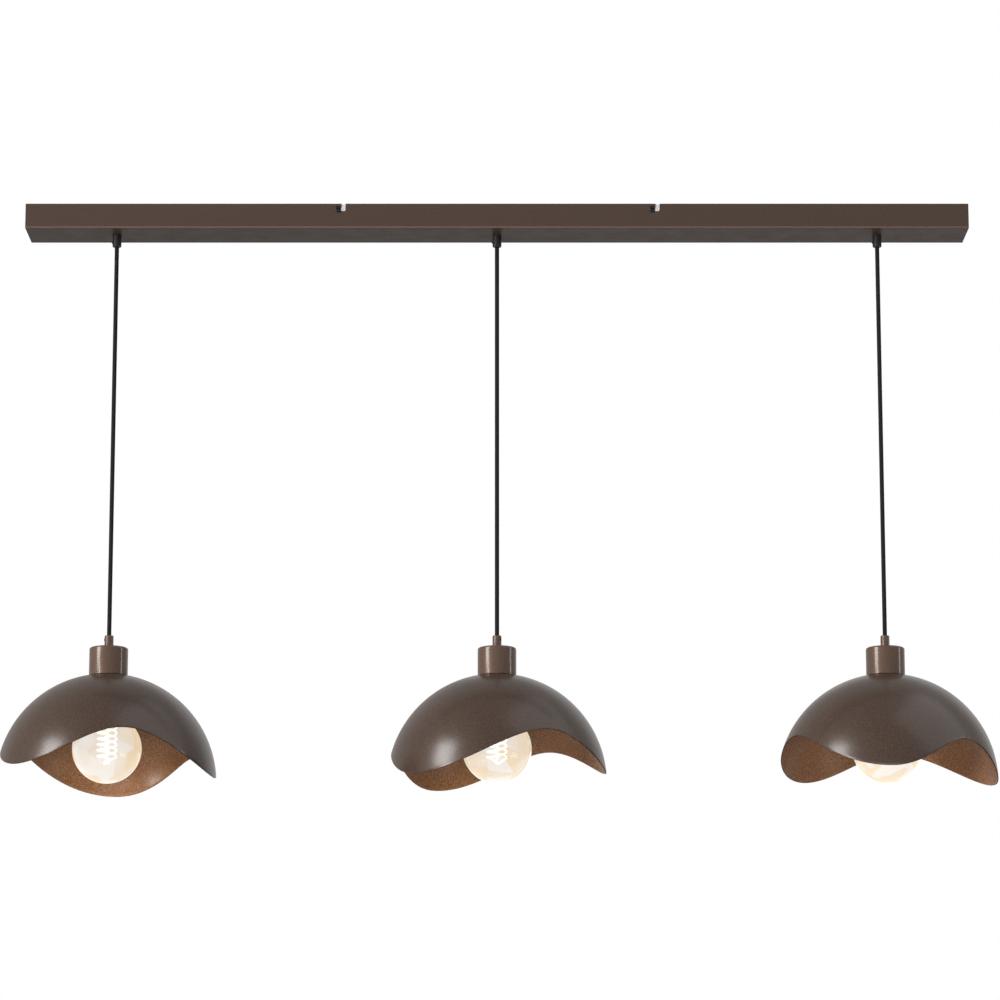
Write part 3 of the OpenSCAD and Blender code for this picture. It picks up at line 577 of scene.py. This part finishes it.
def spin_outline(outline, steps, closed=False):
    """Spins (radius, height) points round Z; a point on the axis closes a pole, closed leaves a bore."""
    bm = bmesh.new()
    verts = [bm.verts.new((r, 0, z)) for r, z in outline]
    for a, b in zip(verts, verts[1:] + ([verts[0]] if closed else [])):
        bm.edges.new((a, b))
    bmesh.ops.spin(bm, geom=bm.verts[:] + bm.edges[:], cent=(0, 0, 0), axis=(0, 0, 1), dvec=(0, 0, 0),
                   angle=2 * pi, steps=steps, use_merge=True, use_normal_flip=False, use_duplicate=False)
    bmesh.ops.remove_doubles(bm, verts=bm.verts, dist=1e-6)
    bmesh.ops.recalc_face_normals(bm, faces=bm.faces)
    return bm


def wrap_uv(bm):
    """UV map round the Z axis: u once round, v the height in metres."""
    layer = bm.loops.layers.uv.verify()
    for face in bm.faces:
        around = [atan2(loop.vert.co.y, loop.vert.co.x) / (2 * pi) % 1 for loop in face.loops]
        wraps = max(around) - min(around) > 0.5
        for loop, u in zip(face.loops, around):
            loop[layer].uv = (u + 1 if wraps and u < 0.5 else u, loop.vert.co.z)


def place_mesh(bm, name, x=0.0, turn=0.0, materials=(), sharp=35):
    """Turns and moves the mesh to its pendant, and makes the object with its finish."""
    if turn:
        bmesh.ops.rotate(bm, verts=bm.verts, cent=(0, 0, 0), matrix=Matrix.Rotation(radians(turn), 3, "Z"))
    bmesh.ops.translate(bm, verts=bm.verts, vec=(x, 0, 0))
    mesh = bpy.data.meshes.new(name)
    bm.to_mesh(mesh)
    bm.free()
    return place_object(mesh, name, materials, sharp)


def place_object(mesh, name, materials, sharp=35):
    """Makes the object of a finished mesh, smooth up to an angle in degrees, with its finishes."""
    piece = bpy.data.objects.new(name, mesh)
    bpy.context.scene.collection.objects.link(piece)
    mesh.shade_smooth()
    mesh.set_sharp_from_angle(angle=radians(sharp))
    for key in materials:
        mesh.materials.append(finish_material(key))
    return piece


def round_corner(centre, radius, start, end, steps):
    """Points of an arc in an outline, angles in degrees from the outward direction."""
    angles = [radians(start + (end - start) * k / steps) for k in range(steps + 1)]
    return [(centre[0] + radius * cos(a), centre[1] + radius * sin(a)) for a in angles]


def wire_mesh(name, points, radius, resolution):
    """A round wire along the points, with capped ends and a UV map, u round and v along in metres."""
    curve = bpy.data.curves.new(name, "CURVE")
    curve.dimensions = "3D"
    curve.bevel_depth = radius
    curve.bevel_resolution = resolution
    curve.use_fill_caps = True
    spline = curve.splines.new("POLY")
    spline.points.add(len(points) - 1)
    for point, place in zip(spline.points, points):
        point.co = (*place, 1)
    holder = bpy.data.objects.new(name + "_route", curve)
    bpy.context.scene.collection.objects.link(holder)
    bpy.context.view_layer.update()
    mesh = bpy.data.meshes.new_from_object(holder.evaluated_get(bpy.context.evaluated_depsgraph_get()))
    mesh.name = name
    bpy.data.objects.remove(holder)
    bpy.data.curves.remove(curve)
    bm = bmesh.new()
    bm.from_mesh(mesh)
    bmesh.ops.remove_doubles(bm, verts=bm.verts, dist=1e-6)
    bmesh.ops.recalc_face_normals(bm, faces=bm.faces)
    layer = bm.loops.layers.uv.verify()
    length = sum((Vector(b) - Vector(a)).length for a, b in zip(points, points[1:]))
    for face in bm.faces:
        for loop in face.loops:
            u, v = loop[layer].uv
            loop[layer].uv = (v, u * length)
    bm.to_mesh(mesh)
    bm.free()
    return mesh


def dress_node(name, key):
    """Gives a carried-over CAD node a finish."""
    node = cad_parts[name]
    node.data.materials.clear()
    node.data.materials.append(finish_material(key))


def catmull(route, steps):
    """The smooth line through the points of a route that part.scad sweeps a tail along."""
    points = []
    last = len(route) - 1
    for i in range(last):
        a, b, c, d = (Vector(route[k]) for k in (max(i - 1, 0), i, i + 1, min(i + 2, last)))
        for k in range(steps):
            u = k / steps
            points.append(0.5 * (2 * b + (c - a) * u + (2 * a - 5 * b + 4 * c - d) * u ** 2
                                 + (3 * b - a - 3 * c + d) * u ** 3))
    points.append(Vector(route[last]))
    return points


class PENDANT_OT_studio(bpy.types.Operator):
    """Sets the camera at the photograph's viewpoint, the lamps, the white room and the pale floor"""
    bl_idname = "pendant.studio"
    bl_label = "Studio"

    def execute(self, context):
        studio = context.scene.pendant_studio
        camera = bpy.data.objects.new("camera", bpy.data.cameras.new("camera"))
        context.scene.collection.objects.link(camera)
        camera.location = (0, -studio.distance, studio.height)
        camera.rotation_euler = (pi / 2 + studio.pitch, 0, 0)
        camera.data.lens = studio.lens
        camera.data.sensor_width = SENSOR_WIDTH
        camera.data.shift_x = CAMERA_SHIFT
        context.scene.camera = camera
        context.scene.view_settings.view_transform = "Standard"
        self.room(context, studio.ambient)
        self.floor(context)
        for name in LAMPS:
            self.lamp(context, name, getattr(studio, name))
        return {"FINISHED"}

    def lamp(self, context, name, power):
        """One of the rectangular lamps, turned to the target."""
        way, size, colour = LAMPS[name]
        lamp = bpy.data.lights.new(name + "_lamp", "AREA")
        lamp.shape = "RECTANGLE"
        lamp.size, lamp.size_y = size
        lamp.energy = power
        lamp.color = colour
        holder = bpy.data.objects.new(name + "_lamp", lamp)
        context.scene.collection.objects.link(holder)
        holder.location = LAMP_TARGET + LAMP_DISTANCE * Vector(way).normalized()
        holder.rotation_euler = (LAMP_TARGET - holder.location).to_track_quat("-Z", "Y").to_euler()

    def seen_rays(self, tree):
        """1 for the rays that show the room to the camera, straight or through gloss and glass, else 0."""
        path = tree.nodes.new("ShaderNodeLightPath")
        seen = path.outputs["Is Camera Ray"]
        for kind in ("Is Glossy Ray", "Is Transmission Ray"):
            seen = maths(tree, "MAXIMUM", seen, path.outputs[kind])
        return seen

    def room(self, context, ambient):
        """A world that is white where it is seen and gives an even, weak light."""
        world = bpy.data.worlds.new("white_room")
        context.scene.world = world
        world.use_nodes = True
        tree = world.node_tree
        tree.nodes.clear()
        output = tree.nodes.new("ShaderNodeOutputWorld")
        mix = tree.nodes.new("ShaderNodeMixShader")
        for socket, strength in ((mix.inputs[1], ambient), (mix.inputs[2], 1.0)):
            background = tree.nodes.new("ShaderNodeBackground")
            background.inputs["Color"].default_value = (1, 1, 1, 1)
            background.inputs["Strength"].default_value = strength
            tree.links.new(background.outputs["Background"], socket)
        tree.links.new(self.seen_rays(tree), mix.inputs["Fac"])
        tree.links.new(mix.outputs["Shader"], output.inputs["Surface"])

    def floor(self, context):
        """The floor far under the light, near white where it is seen, with the light's shadow on it."""
        bm = bmesh.new()
        bmesh.ops.create_grid(bm, x_segments=1, y_segments=1, size=FLOOR_HALF)
        bmesh.ops.translate(bm, verts=bm.verts, vec=(0, 0, FLOOR_Z))
        mesh = bpy.data.meshes.new("floor")
        bm.to_mesh(mesh)
        bm.free()
        floor = bpy.data.objects.new("floor", mesh)
        context.scene.collection.objects.link(floor)
        material, tree, shader = new_material("pale_floor")
        shader.inputs["Roughness"].default_value = 0.9
        shader.inputs["Specular IOR Level"].default_value = 0.1
        mottle = blend_colours(tree, object_noise(tree, 0.6, 2.0, 0.5), *FLOOR_SEEN)
        seen = self.seen_rays(tree)
        tree.links.new(blend_colours(tree, seen, FLOOR_LIT, mottle), shader.inputs["Base Color"])
        shader.inputs["Emission Color"].default_value = (1, 1, 1, 1)
        tree.links.new(spread(tree, seen, 0, 1, 0, FLOOR_GLOW), shader.inputs["Emission Strength"])
        mesh.materials.append(material)


class PENDANT_OT_cords(bpy.types.Operator):
    """Makes the textile cords, their balls at the upper grips, their lower ends and their tails"""
    bl_idname = "pendant.cords"
    bl_label = "Cords"

    def execute(self, context):
        radius = context.scene.pendant_sizes.cord_diameter / 2
        for side in SIDES:
            x = CORD_X[side]
            half_round = round_corner((0, PIVOT_Z), radius, -90, 90, 12)
            ball = self.round_piece(side + "_textile_bend", half_round, x)
            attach(ball, side + "_flex")
            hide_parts(side + "_cord_flex")
            end_top = CORD_LOW_Z - CORD_SLIT
            end = self.round_piece(side + "_textile_end", [(0, CORD_END_Z), (radius, CORD_END_Z),
                                                           (radius, end_top), (0, end_top)], x)
            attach(end, side + "_cord_end")
            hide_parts(side + "_cord_end")
            length = PIVOT_Z - CORD_LOW_Z
            wall = [(radius, PIVOT_Z - length * k / CORD_ROWS) for k in range(CORD_ROWS + 1)]
            cord = self.round_piece(side + "_textile_cord", [(0, PIVOT_Z)] + wall + [(0, CORD_LOW_Z)], x)
            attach(cord, side + "_cord")
            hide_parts(side + "_cord")
            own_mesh(cord)
        for side in SIDES:
            self.tail(side, radius)
        return {"FINISHED"}

    def round_piece(self, name, outline, x):
        """A spun piece of cord."""
        bm = spin_outline(outline, CORD_SIDES)
        wrap_uv(bm)
        piece = place_mesh(bm, name, x, 0, ["textile_cord"])
        return piece

    def tail(self, side, radius):
        """A tail: up through the grip's neck, over in a bow, and along the canopy's floor to its block."""
        plan, x = TAILS[side], CORD_X[side]
        lay_z = CANOPY_LOW + CANOPY_WALL * MM + radius + LOOSE * MM
        start_z = PIVOT_Z + radius + LOOSE * MM
        route = [(x, 0, start_z + (NECK_TOP_Z - start_z) * k / 3) for k in range(4)]
        route += [(x + plan["lean"] * a * MM, plan["aside"] * a / BOW_FOOT * MM, NECK_TOP_Z + h * MM)
                  for a, h in BOW]
        route.append((x + plan["lean"] * BOW_FOOT * MM, plan["aside"] * MM, lay_z))
        route += [(a * MM, y * MM, lay_z) for a, y in plan["along"]]
        route.append((BLOCK_X + plan["from"] * BLOCK_REACH * MM, plan["way"] * WAY_PITCH * MM, lay_z))
        line = catmull(route, WIRE_STEPS)
        name = side + "_textile_tail"
        tail = place_object(wire_mesh(name, line, radius, CORD_BEVEL), name, ["textile_cord"])
        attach(tail, "ceiling_bar")
        cores = [self.core(side, core, line[-1], plan["way"], -plan["from"]) for core in (-1, 1)]
        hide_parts(side + "_cord_tail")

    def core(self, side, core, end, way, into):
        """One of the two wires that leave a tail and go into the terminal block."""
        rise_z = CANOPY_LOW + CORE_RISE * MM
        beside, into_y = end.y + core * CORE_R * CORE_SPREAD, (way + core / 2) * (WAY_PITCH * MM)
        places = ((beside, end.z), (beside, end.z), (into_y, rise_z), (into_y, rise_z))
        points = [Vector((end.x + into * a * MM, y, z)) for a, (y, z) in zip(CORE_STOPS, places)]
        name = "%s_core_%s" % (side, "blue" if core < 0 else "brown")
        key = "core_blue" if core < 0 else "core_brown"
        line = catmull(points, WIRE_STEPS)
        piece = place_object(wire_mesh(name, line, CORE_R, WIRE_BEVEL), name, [key])
        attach(piece, "ceiling_bar")
        return piece


class PENDANT_OT_shades(bpy.types.Operator):
    """Makes the spherical shades with their wavy rims"""
    bl_idname = "pendant.shades"
    bl_label = "Shades"

    def execute(self, context):
        sizes = context.scene.pendant_sizes
        for side in SIDES:
            bm = self.shell(sizes.shade_diameter / 2)
            shade = place_mesh(bm, side + "_wave_shade", CORD_X[side], TURNS[side],
                               ["shade_outside", "shade_inside", "shade_rim"])
            wall = shade.modifiers.new("sheet", "SOLIDIFY")
            wall.thickness = sizes.shade_wall
            wall.offset = -1
            wall.material_offset = 1
            wall.material_offset_rim = 2
            edge = shade.modifiers.new("edge", "BEVEL")
            edge.width = SHADE_EDGE
            edge.segments = 2
            edge.limit_method = "ANGLE"
            edge.angle_limit = radians(SHARP_EDGE)
            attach(shade, side + "_pendant")
            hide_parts(side + "_shade")
        return {"FINISHED"}

    def shell(self, radius):
        """A hemisphere with the crown's hole, whose meridians are drawn out or shortened to the wavy rim."""
        centre_z = SHADE_TOP_Z - sqrt(radius ** 2 - CROWN_HOLE_R ** 2)
        first = asin(CROWN_HOLE_R / radius)
        polars = [first + (pi / 2 - first) * k / SHADE_ROWS for k in range(SHADE_ROWS + 1)]
        bm = spin_outline([(radius * sin(polar), radius * cos(polar)) for polar in polars], SHADE_STEPS)
        for vert in bm.verts:
            x, y, z = vert.co
            share = (atan2(sqrt(x * x + y * y), z) - first) / (pi / 2 - first)
            around = atan2(y, x)
            last = acos(rim_height(degrees(around) + 90) / radius)
            polar = first + (last - first) * share
            vert.co = (radius * sin(polar) * cos(around), radius * sin(polar) * sin(around),
                       centre_z + radius * cos(polar))
        bmesh.ops.recalc_face_normals(bm, faces=bm.faces)
        centre = Vector((0, 0, centre_z))
        if sum(face.normal.dot(face.calc_center_median() - centre) for face in bm.faces) < 0:
            bmesh.ops.reverse_faces(bm, faces=bm.faces)
        return bm


class PENDANT_OT_bulbs(bpy.types.Operator):
    """Makes the globe bulbs: glass, stem and double-spiral filament"""
    bl_idname = "pendant.bulbs"
    bl_label = "Bulbs"

    def execute(self, context):
        sizes = context.scene.pendant_sizes
        for side in SIDES:
            x, turn = CORD_X[side], TURNS[side]
            glass = place_mesh(spin_outline(self.glass_outline(sizes), ROUND_STEPS), side + "_glass_globe",
                               x, turn, ["bulb_glass"], sharp=60)
            stem = place_mesh(spin_outline(self.stem_outline(), STEM_STEPS), side + "_glass_stem",
                              x, turn, ["stem_glass"])
            name = side + "_double_spiral"
            spiral = wire_mesh(name, self.filament_line(sizes), COIL_WIRE_R, WIRE_BEVEL)
            spiral.transform(Matrix.Translation((x, 0, 0)) @ Matrix.Rotation(radians(turn), 4, "Z"))
            filament = place_object(spiral, name, ["filament_glow"])
            for piece, slot, node in ((glass, "bulb_glass", "bulb_globe"), (stem, "bulb_glass", "bulb_stem"),
                                      (filament, "filament_glow", "filament")):
                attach(piece, side + "_bulb")
                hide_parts(side + "_" + node)
        return {"FINISHED"}

    def glass_outline(self, sizes):
        """Inner pole, up the inside, round the neck's end, down the outside to the outer pole."""
        radius, glass = sizes.bulb_diameter / 2, sizes.bulb_glass
        globe_z = GLOBE_LOW_Z + radius
        bend_r = BULB_NECK_R + BULB_FILLET
        up = sqrt((radius + BULB_FILLET) ** 2 - bend_r ** 2)
        meet = degrees(atan2(up, bend_r))

        def wall(inset):
            r = radius - inset
            globe = round_corner((0, globe_z), r, -90, meet, 44)
            globe[0] = (0, globe_z - r)
            bend = round_corner((bend_r, globe_z + up), BULB_FILLET + inset, 180 + meet, 180, 10)
            return globe + bend[1:] + [(BULB_NECK_R - inset, NECK_END_Z)]
        return wall(glass) + wall(0)[::-1]

    def stem_outline(self):
        """A glass rod with a round foot, and the flare and plug at its top."""
        bead = round_corner((0, STEM_FOOT_Z + ROD_R), ROD_R, -90, 0, 6)
        bead[0] = (0, STEM_FOOT_Z)
        low = STEM_TOP_Z - FLARE_DROP
        flare = [(ROD_R + (FLARE_R - ROD_R) * (k / 10) ** FLARE_CURVE, low + FLARE_LENGTH * k / 10)
                 for k in range(11)]
        return bead + flare + [(PLUG_R, STEM_TOP_Z - PLUG_HEIGHT), (PLUG_R, STEM_TOP_Z), (0, STEM_TOP_Z)]

    def filament_line(self, sizes):
        """Down one strand, across under the stem, and up the other."""
        radius, pitch, turns = sizes.coil_diameter / 2, sizes.coil_pitch, sizes.coil_turns
        top_z = GLOBE_LOW_Z + sizes.bulb_diameter / 2 - COIL_DROP + pitch * turns

        def strand(t, start):
            r = COIL_GAP + (radius - COIL_GAP) * rise(min(1, t * 3))
            angle = 2 * pi * t + start
            return Vector((r * cos(angle), r * sin(angle), top_z - pitch * t))
        count = round(turns * COIL_STEPS)
        down = [strand(k / COIL_STEPS, 0) for k in range(count + 1)]
        up = [strand(k / COIL_STEPS, pi) for k in range(count, -1, -1)]
        reach = BRIDGE_REACH * Vector((-sin(2 * pi * turns), cos(2 * pi * turns), 0))
        dip = Vector((0, 0, BRIDGE_DIP))
        a, b, c, d = down[-1], down[-1] + reach - dip, up[0] - reach - dip, up[0]
        bridge = []
        for k in range(1, BRIDGE_STEPS):
            u = k / BRIDGE_STEPS
            v = 1 - u
            bridge.append(v ** 3 * a + 3 * v * v * u * b + 3 * v * u * u * c + u ** 3 * d)
        return down + bridge + up


class PENDANT_OT_cups(bpy.types.Operator):
    """Makes the drawn cups over the lampholders"""
    bl_idname = "pendant.cups"
    bl_label = "Cups"

    def execute(self, context):
        sizes = context.scene.pendant_sizes
        outer, wall, edge = sizes.cup_diameter / 2, sizes.cup_wall, sizes.cup_edge
        corner = (outer - edge, CUP_TOP_Z - edge)
        outline = [(CUP_BORE_R, CUP_TOP_Z - wall), (CUP_BORE_R, CUP_TOP_Z)]
        outline += round_corner(corner, edge, 90, 0, 10)
        outline += [(outer, CUP_LOW_Z + CUP_LIP), (outer - CUP_LIP, CUP_LOW_Z), (outer - wall, CUP_LOW_Z)]
        outline += round_corner(corner, edge - wall, 0, 90, 6)
        for side in SIDES:
            cup = place_mesh(spin_outline(outline, ROUND_STEPS, closed=True), side + "_drawn_cup",
                             CORD_X[side], TURNS[side], ["cup_bronze"])
            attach(cup, side + "_pendant")
            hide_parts(side + "_cup")
        return {"FINISHED"}


class PENDANT_OT_hardware(bpy.types.Operator):
    """Gives the canopy, brackets, screws, grips, lampholders and caps their finishes"""
    bl_idname = "pendant.hardware"
    bl_label = "Canopy and hardware"

    def execute(self, context):
        for name, key in BAR_FINISHES.items():
            dress_node(name, key)
        for side in SIDES:
            for name, key in PENDANT_FINISHES.items():
                dress_node(side + "_" + name, key)
        return {"FINISHED"}


OPERATORS = (PENDANT_OT_studio, PENDANT_OT_cords, PENDANT_OT_shades, PENDANT_OT_bulbs, PENDANT_OT_cups,
             PENDANT_OT_hardware)


class PENDANT_PT_panel(bpy.types.Panel):
    """Lists the sizes, finishes and pieces of the pendant light"""
    bl_idname = "PENDANT_PT_panel"
    bl_label = "Pendant Light"
    bl_space_type = "VIEW_3D"
    bl_region_type = "UI"
    bl_category = "Pendant Light"

    def draw(self, context):
        scene = context.scene
        for group in (scene.pendant_sizes, scene.pendant_finishes, scene.pendant_studio):
            box = self.layout.box()
            for name in group.__annotations__:
                box.prop(group, name)
        for operator in OPERATORS:
            self.layout.operator(operator.bl_idname)


GROUPS = {"pendant_sizes": PendantSizes, "pendant_finishes": PendantFinishes,
          "pendant_studio": PendantStudio}


def register():
    for group in GROUPS.values():
        bpy.utils.register_class(group)
    for name, group in GROUPS.items():
        setattr(bpy.types.Scene, name, bpy.props.PointerProperty(type=group))
    for item in OPERATORS + (PENDANT_PT_panel,):
        bpy.utils.register_class(item)


def unregister():
    for item in (PENDANT_PT_panel,) + OPERATORS[::-1]:
        bpy.utils.unregister_class(item)
    for name in GROUPS:
        delattr(bpy.types.Scene, name)
    for group in GROUPS.values():
        bpy.utils.unregister_class(group)


def main():
    register()
    bpy.ops.pendant.studio()
    bpy.ops.pendant.cords()
    bpy.ops.pendant.shades()
    bpy.ops.pendant.bulbs()
    bpy.ops.pendant.cups()
    bpy.ops.pendant.hardware()
    bpy.context.view_layer.update()


if __name__ == "__main__":
    main()
